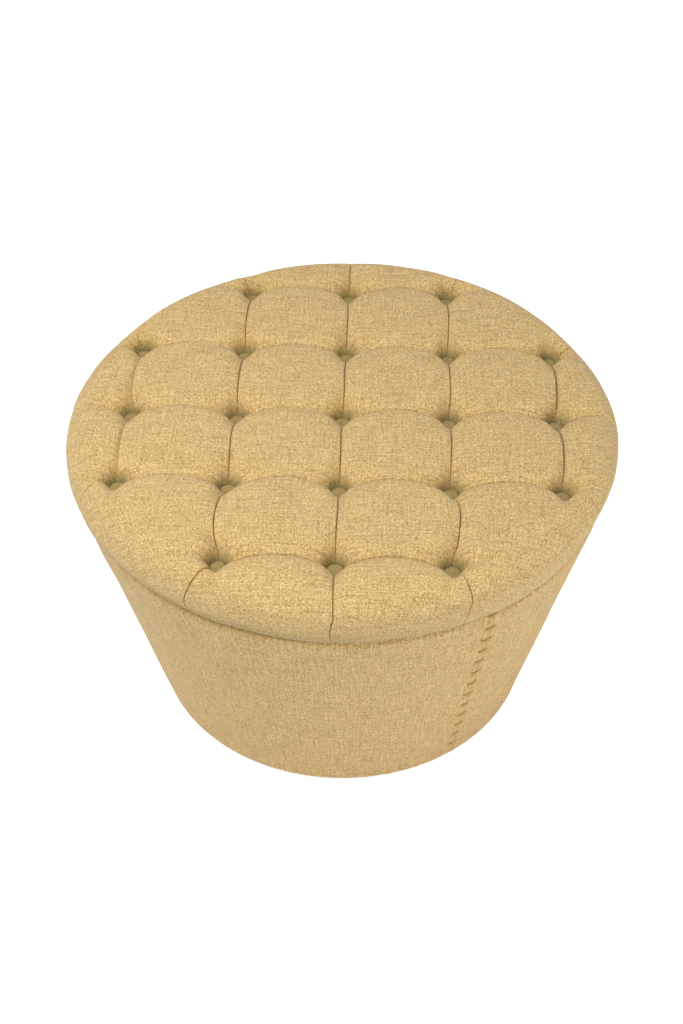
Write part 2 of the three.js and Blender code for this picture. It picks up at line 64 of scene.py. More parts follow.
def maths(tree, operation, first, second=0.0, third=0.0):
    """One Math node, and its value."""
    return wired(tree, "Math", {0: first, 1: second, 2: third}, operation=operation).outputs[0]


def blended(tree, share, first, second):
    """A colour between two others. The Mix node's colour sockets share their names with others,
    so they are reached by their places."""
    made = wired(tree, "Mix", {0: share, 6: first, 7: second}, data_type="RGBA")
    return made.outputs[2]


def effect(name, inputs, outputs):
    """A new node group, the values that come into it, and the sockets that take its results."""
    group = bpy.data.node_groups.new(name, "ShaderNodeTree")
    for way, sockets in (("INPUT", inputs), ("OUTPUT", outputs)):
        for socket, kind in sockets.items():
            group.interface.new_socket(socket, in_out=way, socket_type="NodeSocket" + kind)
    return group, group.nodes.new("NodeGroupInput").outputs, group.nodes.new("NodeGroupOutput").inputs


def srgb(red, green, blue):
    """A colour as read from 0 to 255 on screen, as the linear colour that a shader takes."""
    shares = [channel / 255 for channel in (red, green, blue)]
    return [s / 12.92 if s <= 0.04045 else ((s + 0.055) / 1.055) ** 2.4 for s in shares] + [1.0]


def bare_finish(name, **constants):
    """A material with one Principled shader, its tree and that shader."""
    material = bpy.data.materials.new(name)
    material.use_nodes = True
    tree = material.node_tree
    shader = tree.nodes["Principled BSDF"]
    for socket, value in constants.items():
        shader.inputs[socket.replace("_", " ").title()].default_value = value
    return material, tree, shader


def surface_place(tree):
    """Where a point lies on the piece, in metres."""
    return wired(tree, "TexCoord").outputs["Object"]


def raised(tree, shader, height, distance, strength=1.0):
    """Relief from a height, over that distance in metres."""
    bump = wired(tree, "Bump", {"Height": height, "Distance": distance, "Strength": strength})
    tree.links.new(bump.outputs[0], shader.inputs["Normal"])


def noise_over(tree, place, scale, detail, distortion=0.0):
    """Random tone, from 0 to 1, that changes about `scale` times in a metre of place."""
    inputs = {"Vector": place, "Scale": scale, "Detail": detail, "Distortion": distortion}
    return wired(tree, "TexNoise", inputs).outputs[0]


def drawn_out(tree, place, scale):
    """Place with each of its directions scaled, for a figure that runs one way."""
    return wired(tree, "Mapping", {"Vector": place, "Scale": scale}).outputs[0]


def grain_effect():
    """Long figure along X: light and dark bands with fine pores in them."""
    inputs = {"Place": "Vector", "Band": "Float", "Light": "Color", "Dark": "Color"}
    outputs = {"Color": "Color", "Height": "Float", "Roughness": "Float"}
    group, given, result = effect("wood grain", inputs, outputs)
    figure = noise_over(group, drawn_out(group, given["Place"], (1.5, 26, 26)), 1.6, 4.0)
    pores = noise_over(group, drawn_out(group, given["Place"], (20, 900, 900)), 1.0, 2.0)
    bands = maths(group, "SINE", maths(group, "MULTIPLY", figure, given["Band"]))
    shade = maths(group, "MULTIPLY_ADD", bands, 0.2, maths(group, "MULTIPLY", pores, 0.9))
    group.links.new(blended(group, shade, given["Dark"], given["Light"]), result["Color"])
    group.links.new(shade, result["Height"])
    group.links.new(maths(group, "MULTIPLY_ADD", pores, 0.25, 0.55), result["Roughness"])
    return group


wood_grain = grain_effect()


def timber(name, band, light, dark, relief):
    """A wood with its figure along X, with that relief in metres."""
    material, tree, shader = bare_finish(name)
    inputs = {"Place": surface_place(tree), "Band": band, "Light": light, "Dark": dark}
    seen = wired(tree, "Group", inputs, node_tree=wood_grain).outputs
    tree.links.new(seen["Color"], shader.inputs["Base Color"])
    tree.links.new(seen["Roughness"], shader.inputs["Roughness"])
    raised(tree, shader, seen["Height"], relief)
    return material


birch_ply = timber("birch plywood", 60.0, srgb(226, 196, 150), srgb(176, 137, 92), 0.0003)


def refinish(node, material):
    """Gives a piece of the frame its finish. Its mesh stays as it is."""
    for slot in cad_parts[node].material_slots:
        slot.material = material


refinish("deck_board", birch_ply)

# Foam pad
# A pad of cream polyurethane foam on the deck. The buttons pull it
# into pillows, and its rim rounds over and down to the edge of the deck.

SEAT_HEIGHT = 0.437
RIM_RADIUS = 0.354
RIM_ROLL = 0.030
RIM_DROP = 0.051
RIM_TUCK = 0.013
FABRIC = 0.0012
CLEARANCE = 0.0003
BATTING = 0.012
BATTING_PINCHED = 0.009
TUFT_DEPTH = 0.033
SEAT_RADIUS = 0.0112
PIT_POWER = 0.46
CORNER_FULLNESS = 1.6

CROWN_RADIUS = RIM_RADIUS - RIM_ROLL
UNDER_RADIUS = (RIM_DROP**2 + RIM_TUCK**2) / (2 * RIM_TUCK)
UNDER_SWEEP = 2 * math.atan2(RIM_TUCK, RIM_DROP)
WIDEST_REACH = CROWN_RADIUS + RIM_ROLL * math.pi / 2
JOINT_REACH = WIDEST_REACH + UNDER_RADIUS * UNDER_SWEEP
DECK_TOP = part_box("deck_board")[1].z
DECK_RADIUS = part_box("deck_board")[1].x


def nodes_like(start):
    """The frame's nodes whose names start like this, in order."""
    return sorted(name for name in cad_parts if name.startswith(start))


def centre_of(node):
    """The middle of a node's box."""
    low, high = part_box(node)
    return (low + high) / 2


button_nodes = nodes_like("button_")
tufts = [centre_of(name) for name in button_nodes]
PITCH = max(tuft.x for tuft in tufts) / 2
PLEAT_ANGLE = math.atan2(1, 2)


def apart(x, y, start, end):
    """Distance of places from a straight pleat."""
    run, rise = end[0] - start[0], end[1] - start[1]
    share = ((x - start[0]) * run + (y - start[1]) * rise) / (run**2 + rise**2)
    share = np.clip(share, 0, 1)
    return np.hypot(x - start[0] - share * run, y - start[1] - share * rise)


def rounded(distance, edge, power):
    """0 on a pleat, 1 from `edge` away, round between them."""
    away = np.clip(distance / edge, 0, 1)
    return (1 - (1 - away) ** 2) ** power


def hump(distance, width):
    """1 at no distance, and less the further away."""
    return np.exp(-((distance / width) ** 2))


def uneven(x, y, seed, size):
    """Smooth unevenness, from -1 to 1, that changes over `size` metres."""
    flat = [noise.noise(Vector((a / size, b / size, seed))) for a, b in zip(x.ravel(), y.ravel())]
    return np.array(flat).reshape(x.shape)


def pleats_near(x, y):
    """Distances to the pleats on the two sides of a pillow, and to the nearest pleat of all.
    The grid is the same in all eight octants, so a place is folded into the first one."""

    def to_line(value):
        return np.abs(value - np.round(value / PITCH) * PITCH)

    across = np.maximum(np.abs(x), np.abs(y))
    along = np.minimum(np.abs(x), np.abs(y))
    inner, edge = (PITCH, PITCH), (2 * PITCH, PITCH)
    end = (JOINT_REACH * math.cos(PLEAT_ANGLE), JOINT_REACH * math.sin(PLEAT_ANGLE))
    outside = apart(across, along, edge, end)
    near = np.minimum(outside, apart(across, along, inner, edge))
    far = np.minimum(apart(along, across, edge, end), apart(along, across, inner, edge))
    in_square = (across <= 2 * PITCH) & (along <= PITCH)
    in_side = ~in_square & (along < across * math.tan(PLEAT_ANGLE))
    first = np.select([in_square, in_side], [to_line(across), across - 2 * PITCH], near)
    second = np.select([in_square, in_side], [to_line(along), np.minimum(along, outside)], far)
    return first, second


def to_tuft_apart(x, y):
    """The way from the nearest button, as a complex number."""
    away = np.array([x - tuft.x + 1j * (y - tuft.y) for tuft in tufts])
    nearest = np.abs(away).argmin(axis=0)
    return np.take_along_axis(away, nearest[None], axis=0)[0]


def to_tuft(x, y):
    """Distance to the nearest button."""
    return np.abs(to_tuft_apart(x, y))


def drawn_down(x, y, margin=0.0):
    """How strongly the nearest button draws the padding down: 1 at its seat. The corners of the
    pillows stay fuller than the pleats between them. The layers under the cover have a wider
    seat, by `margin`."""
    seat = SEAT_RADIUS + margin
    turn = np.angle(to_tuft_apart(x, y))
    beyond = (to_tuft(x, y) - seat) * (1 + CORNER_FULLNESS * (1 - np.cos(4 * turn)) / 2)
    away = np.clip(beyond / (PITCH / 2 - seat), 0, 1)
    return 1 - (1 - (1 - away) ** 2) ** PIT_POWER


PLEAT_DEPTH = 0.0058
PLEAT_ROLL = 0.0017
EDGE_RISE = 0.0014
EDGE_WIDTH = 0.016
EDGE_POWER = 0.8
DOME_RISE = 0.005
PUFF = 0.002
LOOSENESS = 0.0008
LOOSENESS_SIZE = 0.05
HEM_DEPTH = 0.0045
HEM_ROLL = 0.022
HEM_EVENNESS = 0.85
RIGHT_START = 0.3
RIGHT_RATE = 1.2
RIM_START = 0.15
BACK_FULLNESS = 0.95
SHOULDER_SLUMP = 0.005
BACK_CORNER_SLUMP = 0.006
SHOULDER_REACH = CROWN_RADIUS + RIM_ROLL * math.pi / 4
SHOULDER_WIDTH = 0.022


def past_crown(x, y):
    """Share of the way along the fabric from where the rim begins to the joint."""
    return np.clip((np.hypot(x, y) - CROWN_RADIUS) / (JOINT_REACH - CROWN_RADIUS), 0, 1)


def to_right(x, reach):
    """0 at the left of the lid and 1 at its right, where the hem hardly shows."""
    return np.clip(RIGHT_START + RIGHT_RATE * x / reach, 0, 1)


def lid_depth(x, y, margin=0.0):
    """How far the padding lies below the crown. Pleats fade out over the rim and at the back. The
    layers under the cover have wider pleats, by `margin`."""
    first, second = pleats_near(x, y)
    nearest = np.minimum(first, second)
    over = past_crown(x, y)
    reach = np.maximum(np.hypot(x, y), CLEARANCE)
    level = 1 - over / (over + (1 - over) ** 4 + CLEARANCE)
    roll = 1 - rounded(np.maximum(nearest - margin, 0), PLEAT_ROLL, 0.5)
    edge = 1 - rounded(first, EDGE_WIDTH, EDGE_POWER) * rounded(second, EDGE_WIDTH, EDGE_POWER)
    dome = 1 - (rounded(first, PITCH / 2, 1) + rounded(second, PITCH / 2, 1)) / 2
    back = BACK_FULLNESS * np.clip(y / JOINT_REACH, 0, 1) * np.clip(over / RIM_START, 0, 1)
    slot = PLEAT_DEPTH * roll * (1 - over**3)
    pleat = (slot + (EDGE_RISE * edge + DOME_RISE * dome - PUFF) * level) * (1 - back)
    hem = HEM_DEPTH * (1 - rounded(JOINT_REACH - reach, HEM_ROLL, 0.5))
    hem = hem * (1 - HEM_EVENNESS * to_right(x, reach))
    corner = np.clip(2 * y / reach, 0, 1) * (x / reach) ** 4
    lift = np.clip(y / reach, 0, 1) ** 2 * (1 + np.clip(x / PITCH, -1, 1)) / 2
    slump = SHOULDER_SLUMP * (1 - lift) + BACK_CORNER_SLUMP * corner
    slump *= hump(reach - SHOULDER_REACH, SHOULDER_WIDTH)
    loose = LOOSENESS * (1 + uneven(x, y, 7.0, LOOSENESS_SIZE))
    drawn = drawn_down(x, y, margin) * (1 - back)
    return (pleat + loose + slump) * (1 - drawn) + TUFT_DEPTH * drawn + hem


WANDER = 0.0016
WANDER_SIZE = 0.07
UNDERSIDE_SAG = 0.0038
SAG_POWER = 0.6
BOW = 0.0035
FRONT_BOW = 0.0080
LEFT_CORNER_BOW = 0.0175
RIGHT_CORNER_BOW = 0.0030
LATE_BOW = 1.7
BOW_POWER = 0.9


def bowed(x, y):
    """How far the pleats that run front to back bow away from the middle between two buttons.
    The big front corner pillows give way most to their neighbours."""
    across, along = np.abs(x), np.abs(y)
    beyond = np.clip(along - 2 * PITCH, 0, None)
    border = np.sqrt(np.clip(JOINT_REACH**2 - x**2, PITCH**2, None)) - 2 * PITCH
    late = np.clip(beyond / np.maximum(border, PITCH / 8), 0, 1) ** LATE_BOW
    phase = np.where(beyond > 0, late, along / PITCH)
    beside = np.clip(1 - np.abs(across - PITCH - beyond * math.tan(PLEAT_ANGLE)) / PITCH, 0, 1)
    inside = np.clip((WIDEST_REACH - np.hypot(x, y)) / (PITCH / 2), 0, 1)
    corner = np.where(x < 0, LEFT_CORNER_BOW, RIGHT_CORNER_BOW)
    front = np.where(beyond > 0, corner, FRONT_BOW) * (y < -PITCH)
    size = BOW * inside * across / (2 * PITCH) + front * beside
    return np.sign(x) * size * np.abs(np.sin(math.pi * np.clip(phase, 0, 2))) ** BOW_POWER


def kept_round(points, moved, x, y):
    """Keeps what moved over the rim as far from the axis as before, so the rim stays round."""
    before = np.hypot(points[..., 0], points[..., 1])
    after = np.hypot(moved[..., 0], moved[..., 1])
    share = np.clip(past_crown(x, y) / RIM_START, 0, 1)
    scale = 1 + share * (before / np.maximum(after, CLEARANCE) - 1)
    return moved * np.stack([scale, scale, np.ones_like(scale)], axis=-1)


def wandered(points, x, y):
    """Pleats and pillows stray a little from the ruled grid, but not at the buttons."""
    free = np.clip((to_tuft(x, y) - SEAT_RADIUS) / (PITCH / 4), 0, 1)
    rim = np.clip(2 * (JOINT_REACH - np.hypot(x, y)) / RIM_DROP, 0, 1)
    moved = points.copy()
    moved[..., 0] += free * rim * WANDER * uneven(x, y, 3.0, WANDER_SIZE)
    moved[..., 0] += np.clip(2 * free, 0, 1) * rim * bowed(x, y)
    moved[..., 1] += WANDER * free * rim * uneven(x, y, 11.0, WANDER_SIZE)
    moved = kept_round(points, moved, x, y)
    under = np.sin(math.pi * np.clip(past_crown(x, y) * 2 - 1, 0, 1)) ** SAG_POWER
    moved[..., 0] -= UNDERSIDE_SAG * under * np.clip(-y / JOINT_REACH + 0.5, 0, 1)
    return moved


def lid_profile(reach):
    """Radius and height of the untufted lid at a distance from the axis along the fabric, and
    the way out of the padding there."""
    roll = np.clip((reach - CROWN_RADIUS) / RIM_ROLL, 0, math.pi / 2)
    under = np.clip((reach - WIDEST_REACH) / UNDER_RADIUS, 0, UNDER_SWEEP)
    radius = np.minimum(reach, CROWN_RADIUS) + RIM_ROLL * np.sin(roll)
    radius = radius - UNDER_RADIUS * (1 - np.cos(under))
    height = SEAT_HEIGHT - RIM_ROLL * (1 - np.cos(roll)) - UNDER_RADIUS * np.sin(under)
    return radius, height, np.sin(roll) * np.cos(under), np.cos(roll) - np.sin(under)


def pleated_shares(steps):
    """Shares of the way from one pleat to the next, close together beside both."""
    crowding = 0.94
    share = np.linspace(0, 1, steps + 1)
    return share - crowding * np.sin(2 * math.pi * share) / (2 * math.pi)


BORDER_PARTS = 16


def lid_patches(shares, rim_shares):
    """The lid's plan in four-sided patches, each a grid of places (x, y) measured along the
    fabric: twelve squares, four corners, and last the sixteen parts of the border over the rim."""
    edge_reach, diagonal = math.hypot(2, 1) * PITCH, math.pi / 4

    def arc(start, end, share):
        return edge_reach * np.exp(1j * (start + (end - start) * share))

    u, v = np.meshgrid(shares, shares, indexing="ij")
    patches = []
    for row in range(-2, 2):
        for column in range(-2, 2):
            is_corner = row in (-2, 1) and column in (-2, 1)
            if not is_corner:
                patches.append(((column + u) * PITCH, (row + v) * PITCH))
    inner, edge, mirrored = PITCH * (1 + 1j), PITCH * (2 + 1j), PITCH * (1 + 2j)
    middle = arc(diagonal, diagonal, 0)
    bottom, left = inner + (edge - inner) * u, inner + (mirrored - inner) * v
    right = arc(PLEAT_ANGLE, diagonal, v)
    top = arc(math.pi / 2 - PLEAT_ANGLE, diagonal, u)
    ruled = (inner * (1 - u) + edge * u) * (1 - v) + (mirrored * (1 - u) + middle * u) * v
    corner = bottom * (1 - v) + top * v + left * (1 - u) + right * u - ruled
    w, s = np.meshgrid(rim_shares, shares, indexing="ij")
    borders = [
        (PITCH * (2 + 1j * s), 0, PLEAT_ANGLE),
        (arc(PLEAT_ANGLE, diagonal, s), PLEAT_ANGLE, diagonal),
        (arc(diagonal, math.pi / 2 - PLEAT_ANGLE, s), diagonal, math.pi / 2 - PLEAT_ANGLE),
        (PITCH * (1 - s + 2j), math.pi / 2 - PLEAT_ANGLE, math.pi / 2),
    ]
    for quarter in range(4):
        turn = 1j**quarter
        patches.append(((corner * turn).real, (corner * turn).imag))
    for quarter in range(4):
        for place, start, end in borders:
            reach = np.abs(place) + (JOINT_REACH - np.abs(place)) * w
            settled = np.clip((reach - np.abs(place)) / (CROWN_RADIUS - np.abs(place)), 0, 1)
            wanted = start + (end - start) * s
            bearing = np.angle(place) + (wanted - np.angle(place)) * settled
            bearing = bearing + quarter * math.pi / 2
            patches.append((reach * np.cos(bearing), reach * np.sin(bearing)))
    return patches


def lid_point(x, y, depth):
    """Places on a layer of the lid as points, for a depth below the outside of the cover."""
    reach = np.hypot(x, y)
    radius, height, out, up = lid_profile(reach)
    scale = (radius - out * depth) / np.maximum(reach, CLEARANCE)
    return wandered(np.stack([x * scale, y * scale, height - up * depth], axis=-1), x, y)


WELD = 2e-5


def placed(name, data):
    """A new object of the scene."""
    made = bpy.data.objects.new(name, data)
    bpy.context.scene.collection.objects.link(made)
    return made


class Shell:
    """A mesh that is put together from grids of points and welded where they meet."""

    def __init__(self):
        self.points, self.faces, self.cloth, self.painted_shades = [], [], [], []

    def grid(self, points, cloth=None, flip=False, painted_shade=0.0):
        """Adds quads between the rows of a grid, with cloth coordinates in metres, else the plan,
        and how much painted shade each place gets, from 0 to 1."""
        cloth = points[..., :2] if cloth is None else cloth
        rows, columns = points.shape[:2]
        first = sum(len(part) for part in self.points)
        at = first + np.arange(rows * columns).reshape(rows, columns)
        quads = np.stack([at[:-1, :-1], at[1:, :-1], at[1:, 1:], at[:-1, 1:]], axis=-1)
        quads = quads.reshape(-1, 4)
        self.points.append(points.reshape(-1, 3))
        self.cloth.append(cloth.reshape(-1, 2))
        self.painted_shades.append(np.broadcast_to(painted_shade, (rows, columns)).ravel())
        self.faces.append(quads[:, ::-1] if flip else quads)

    def piece(self, name, material):
        """The mesh as an object of the scene, riding on the one rigid body."""
        mesh = bpy.data.meshes.new(name)
        points, cloth = np.concatenate(self.points), np.concatenate(self.cloth)
        faces = np.concatenate(self.faces)
        mesh.from_pydata(points.tolist(), [], faces.tolist())
        corners = np.zeros(len(mesh.loops), dtype=np.int64)
        mesh.loops.foreach_get("vertex_index", corners)
        painted_shades = np.concatenate(self.painted_shades)
        # The second layer carries the painted shade, the same in both of its coordinates.
        for layer, values in (("cloth", cloth), ("painted_shade", np.column_stack([painted_shades, painted_shades]))):
            made = mesh.uv_layers.new(name=layer)
            made.uv.foreach_set("vector", values[corners].astype(np.float32).ravel())
        shaped = bmesh.new()
        shaped.from_mesh(mesh)
        bmesh.ops.remove_doubles(shaped, verts=shaped.verts, dist=WELD)
        bmesh.ops.dissolve_degenerate(shaped, edges=shaped.edges, dist=WELD / 4)
        shaped.to_mesh(mesh)
        shaped.free()
        mesh.shade_smooth()
        mesh.materials.append(material)
        made = placed(name, mesh)
        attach(made, "root")
        return made


def coloured(tree, shader, tone, dark, light):
    """Colours a finish between two colours by a tone from 0 to 1."""
    tree.links.new(blended(tree, tone, dark, light), shader.inputs["Base Color"])


def foam_finish():
    """Open-cell foam: cream, matt, with pinholes of about a millimetre."""
    material, tree, shader = bare_finish("polyurethane foam", roughness=0.95)
    place = surface_place(tree)
    cells = wired(tree, "TexVoronoi", {"Vector": place, "Scale": 900.0}).outputs["Distance"]
    tone = maths(tree, "MULTIPLY_ADD", cells, 0.5, noise_over(tree, place, 18.0, 3.0))
    coloured(tree, shader, tone, srgb(214, 190, 134), srgb(240, 224, 178))
    raised(tree, shader, cells, distance=0.0006)
    return material


foam = foam_finish()

layer_shares = pleated_shares(16)
layer_rim = np.linspace(0, 1, 15)
BATTING_DEPTH = FABRIC + CLEARANCE
FOAM_MARGIN = 0.008


def below_batting(x, y):
    """Depth of the foam's surface: the cover and a pinched layer of batting lie over it."""
    drawn = drawn_down(x, y, FOAM_MARGIN)
    pinched = BATTING + (BATTING_PINCHED - BATTING) * drawn
    return lid_depth(x, y, FOAM_MARGIN) + BATTING_DEPTH + pinched + CLEARANCE


def slumped(points, foot_radius, foot_height, share):
    """Brings the last rings of a layer down to its foot on the deck."""
    radius = np.hypot(points[..., 0], points[..., 1])
    wanted = radius + (foot_radius - radius) * share
    scale = wanted / np.maximum(radius, CLEARANCE)
    height = points[..., 2] + (foot_height - points[..., 2]) * share
    return np.stack([points[..., 0] * scale, points[..., 1] * scale, height], axis=-1)


def about_axis(radius, turn, height):
    """Points by their distance from the axis, their bearing and their height."""
    x, y = radius * np.cos(turn), radius * np.sin(turn)
    return np.stack(np.broadcast_arrays(x, y, height), axis=-1)


def ringed(shell, radii, heights, angles, flip=False):
    """Adds a band of revolution, from (radius, height) to (radius, height)."""
    radius, turn = np.meshgrid(radii, angles, indexing="ij")
    shell.grid(about_axis(radius, turn, np.reshape(heights, (-1, 1))), flip=flip)


def outer_bearings(patches):
    """The bearings of the rim's columns, once round."""
    rim = [np.arctan2(y[-1], x[-1])[:-1] for x, y in patches[-BORDER_PARTS:]]
    return np.unwrap(np.concatenate(rim + [rim[0][:1]]))


def build_foam():
    shell = Shell()
    patches = lid_patches(layer_shares, layer_rim)
    for x, y in patches:
        points = lid_point(x, y, below_batting(x, y))
        points = slumped(points, DECK_RADIUS, DECK_TOP + CLEARANCE, past_crown(x, y) ** 2)
        shell.grid(points, np.stack([x, y], axis=-1))
    angles = outer_bearings(patches)
    radii = [0, DECK_RADIUS / 2, DECK_RADIUS]
    ringed(shell, radii, [DECK_TOP + CLEARANCE] * 3, angles, flip=True)
    return shell.piece("foam_core", foam)


foam_core = build_foam()
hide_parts("foam_pad")

# Batting
# A sheet of white polyester batting, 12 mm thick, between the foam and the cover. It goes over
# the rim and down to the deck's underside, and the buttons pinch it.

BATTING_MARGIN = 0.003
DECK_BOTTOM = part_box("deck_board")[0].z
JOINT_RADIUS = RIM_RADIUS - RIM_TUCK
TURN_RADIUS = JOINT_RADIUS - HEM_DEPTH * math.cos(UNDER_SWEEP)


def mixed(tree, first, second, share):
    """A tone made up of a share of the first one and, for the rest, the second."""
    return maths(tree, "MULTIPLY_ADD", first, share, maths(tree, "MULTIPLY", second, 1 - share))


def batting_finish():
    """Matted white fibres, uneven, with a soft sheen."""
    material, tree, shader = bare_finish("polyester batting", roughness=1.0, sheen_weight=0.3)
    place = surface_place(tree)
    fibres = noise_over(tree, place, 260.0, 5.0, distortion=2.5)
    tone = mixed(tree, fibres, noise_over(tree, place, 30.0, 2.0), 0.6)
    coloured(tree, shader, tone, srgb(206, 203, 194), srgb(248, 247, 243))
    raised(tree, shader, tone, distance=0.0015)
    return material


white_batting = batting_finish()


def build_batting():
    shell = Shell()
    patches = lid_patches(layer_shares, layer_rim)
    foot_radius = TURN_RADIUS - 2 * BATTING_DEPTH
    inner_foot = DECK_RADIUS + CLEARANCE
    for x, y in patches:
        outside = lid_point(x, y, lid_depth(x, y, BATTING_MARGIN) + BATTING_DEPTH)
        outside = slumped(outside, foot_radius, DECK_BOTTOM, past_crown(x, y) ** 6)
        shell.grid(outside, np.stack([x, y], axis=-1))
        inside = lid_point(x, y, below_batting(x, y) - CLEARANCE)
        inside = slumped(inside, inner_foot, DECK_TOP + CLEARANCE, past_crown(x, y) ** 2)
        shell.grid(inside, np.stack([x, y], axis=-1), flip=True)
    angles = outer_bearings(patches)
    heights = [DECK_TOP + CLEARANCE, DECK_BOTTOM, DECK_BOTTOM]
    ringed(shell, [inner_foot, inner_foot, foot_radius], heights, angles)
    return shell.piece("lid_batting", white_batting)


lid_batting = build_batting()
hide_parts("top_batting")

# Top cover
# One disc of heavy linen-look fabric, drawn down by the buttons into pillows. The slack between
# them is folded into pleats, and the edge is pulled over the rim and stapled under the deck.

HEM_RADIUS = 0.312
LID_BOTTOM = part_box("top_cover")[0].z
# Painted shade in the buttons' pits and the pleats: where it starts, how fast it deepens, and its
# share in a pleat.
PAINTED_PIT_START = 0.3
PAINTED_PIT_FALL = 1.15
PAINTED_SEAM_SHARE = 0.35
# Painted shadow under the rim's overhang, on the lid's hem: its strength and how far up it reaches.
HEM_SHADE = 0.6
HEM_SHADE_REACH = 0.032
LINEN_LIGHT = srgb(250, 223, 158)
LINEN_MIDDLE = srgb(215, 180, 118)
LINEN_DARK = srgb(158, 120, 68)
# The dark olive colour that painted shade multiplies the cloth by.
LINEN_PAINTED_SHADE = srgb(128, 146, 96)
THREAD = 0.00085
THREAD_DRIFT = 0.0012


def weave_effect():
    """Plain weave with slubs. Place is in metres along the cloth, warp along V. Body is the
    place in space, for flecks that a fold doesn't stretch. Where shade is painted on, the weave's
    streaks fade."""
    inputs = {"Place": "Vector", "Body": "Vector", "PaintedShade": "Float"}
    group, given, result = effect("linen weave", inputs, {"Tone": "Float", "Height": "Float"})
    drift = wired(group, "TexNoise", {"Vector": given["Place"], "Scale": 60.0, "Detail": 1.0})
    drifting = {0: drift.outputs["Color"], 1: (THREAD_DRIFT, THREAD_DRIFT, 0)}
    bent = wired(group, "VectorMath", drifting, operation="MULTIPLY")
    place = wired(group, "VectorMath", {0: given["Place"], 1: bent.outputs[0]}, operation="ADD")
    parts = wired(group, "SeparateXYZ", {0: place.outputs[0]})
    per_metre = maths(group, "DIVIDE", math.pi, THREAD)
    weft = maths(group, "SINE", maths(group, "MULTIPLY", parts.outputs[0], per_metre))
    warp = maths(group, "SINE", maths(group, "MULTIPLY", parts.outputs[1], per_metre))
    crossing = maths(group, "MULTIPLY", weft, warp)
    scales = ((24, 600, 1), (600, 24, 1), (230, 1250, 1), (1250, 230, 1))
    streaks = [noise_over(group, drawn_out(group, given["Place"], s), 1.0, 2.0) for s in scales]
    slubs = maths(group, "MULTIPLY_ADD", streaks[0], 1.3, streaks[1])
    yarn = maths(group, "MULTIPLY_ADD", streaks[2], 1.1, streaks[3])
    heather = noise_over(group, given["Body"], 1300.0, 1.0)
    flecks = maths(group, "MULTIPLY_ADD", heather, 1.9, -0.95)
    tone = maths(group, "MULTIPLY_ADD", slubs, 0.5, yarn)
    average = 0.5 * (0.5 * (1.3 + 1) + 1.1 + 1)
    tone = maths(group, "MULTIPLY_ADD", crossing, 0.1, maths(group, "SUBTRACT", tone, average))
    # The streaks fade where shade is painted.
    unshaded_share = maths(group, "SUBTRACT", 1.0, given["PaintedShade"])
    centred = maths(group, "MULTIPLY_ADD", tone, unshaded_share, flecks)
    group.links.new(maths(group, "MULTIPLY_ADD", centred, 1.5, 0.5), result["Tone"])
    height = maths(group, "MULTIPLY_ADD", crossing, 0.3, maths(group, "MULTIPLY", slubs, 0.3))
    group.links.new(maths(group, "MULTIPLY_ADD", yarn, 0.4, height), result["Height"])
    return group


linen_weave = weave_effect()


def linen_finish():
    """Heathered camel cloth, matt, with slubs both ways, and painted shade multiplied into its colour
    where the mesh's shade layer asks for it.
    """
    material, tree, shader = bare_finish(
        "camel linen", roughness=0.92, sheen_weight=0.12, sheen_roughness=0.5
    )
    cloth = wired(tree, "UVMap", uv_map="cloth").outputs[0]
    painted_shade = wired(tree, "UVMap", uv_map="painted_shade").outputs[0]
    shade_share = wired(tree, "SeparateXYZ", {0: painted_shade}).outputs[0]
    inputs = {"Place": cloth, "Body": surface_place(tree), "PaintedShade": shade_share}
    woven = wired(tree, "Group", inputs, node_tree=linen_weave).outputs
    ramp = wired(tree, "ValToRGB", {"Fac": woven["Tone"]})
    stops = ramp.color_ramp.elements
    stops[0].color, stops[1].color = LINEN_DARK, LINEN_LIGHT
    stops.new(0.5).color = LINEN_MIDDLE
    # Painted shade: the colour is multiplied towards a dark olive by the shade layer.
    shaded = {0: shade_share, 6: ramp.outputs[0], 7: LINEN_PAINTED_SHADE}
    with_painted_shade = wired(tree, "Mix", shaded, data_type="RGBA", blend_type="MULTIPLY")
    tree.links.new(with_painted_shade.outputs[2], shader.inputs["Base Color"])
    raised(tree, shader, woven["Height"], distance=0.0005, strength=0.5)
    return material


linen = linen_finish()

cover_shares = pleated_shares(34)
cover_rim = np.linspace(0, 1, 40)


def painted_shade_of(x, y):
    """Painted shade on the cover, from 0 to 1: dark in a pleat and a button's pit, and under the
    rim where the hem's shade falls, less of it at the right.
    """
    first, second = pleats_near(x, y)
    slot = 1 - rounded(np.minimum(first, second), PLEAT_ROLL, 0.5)
    pit_shade = np.clip((drawn_down(x, y) - PAINTED_PIT_START) / (1 - PAINTED_PIT_START), 0, 1) ** PAINTED_PIT_FALL
    # Painted shadow under the rim, strongest at the front and left, none at the right.
    reach = np.maximum(np.hypot(x, y), CLEARANCE)
    hem = np.clip(1 - (JOINT_REACH - reach) / HEM_SHADE_REACH, 0, 1)
    hem = HEM_SHADE * hem * (1 - to_right(x, reach))
    return np.maximum(np.maximum(pit_shade, hem), PAINTED_SEAM_SHARE * slot * (1 - past_crown(x, y)))


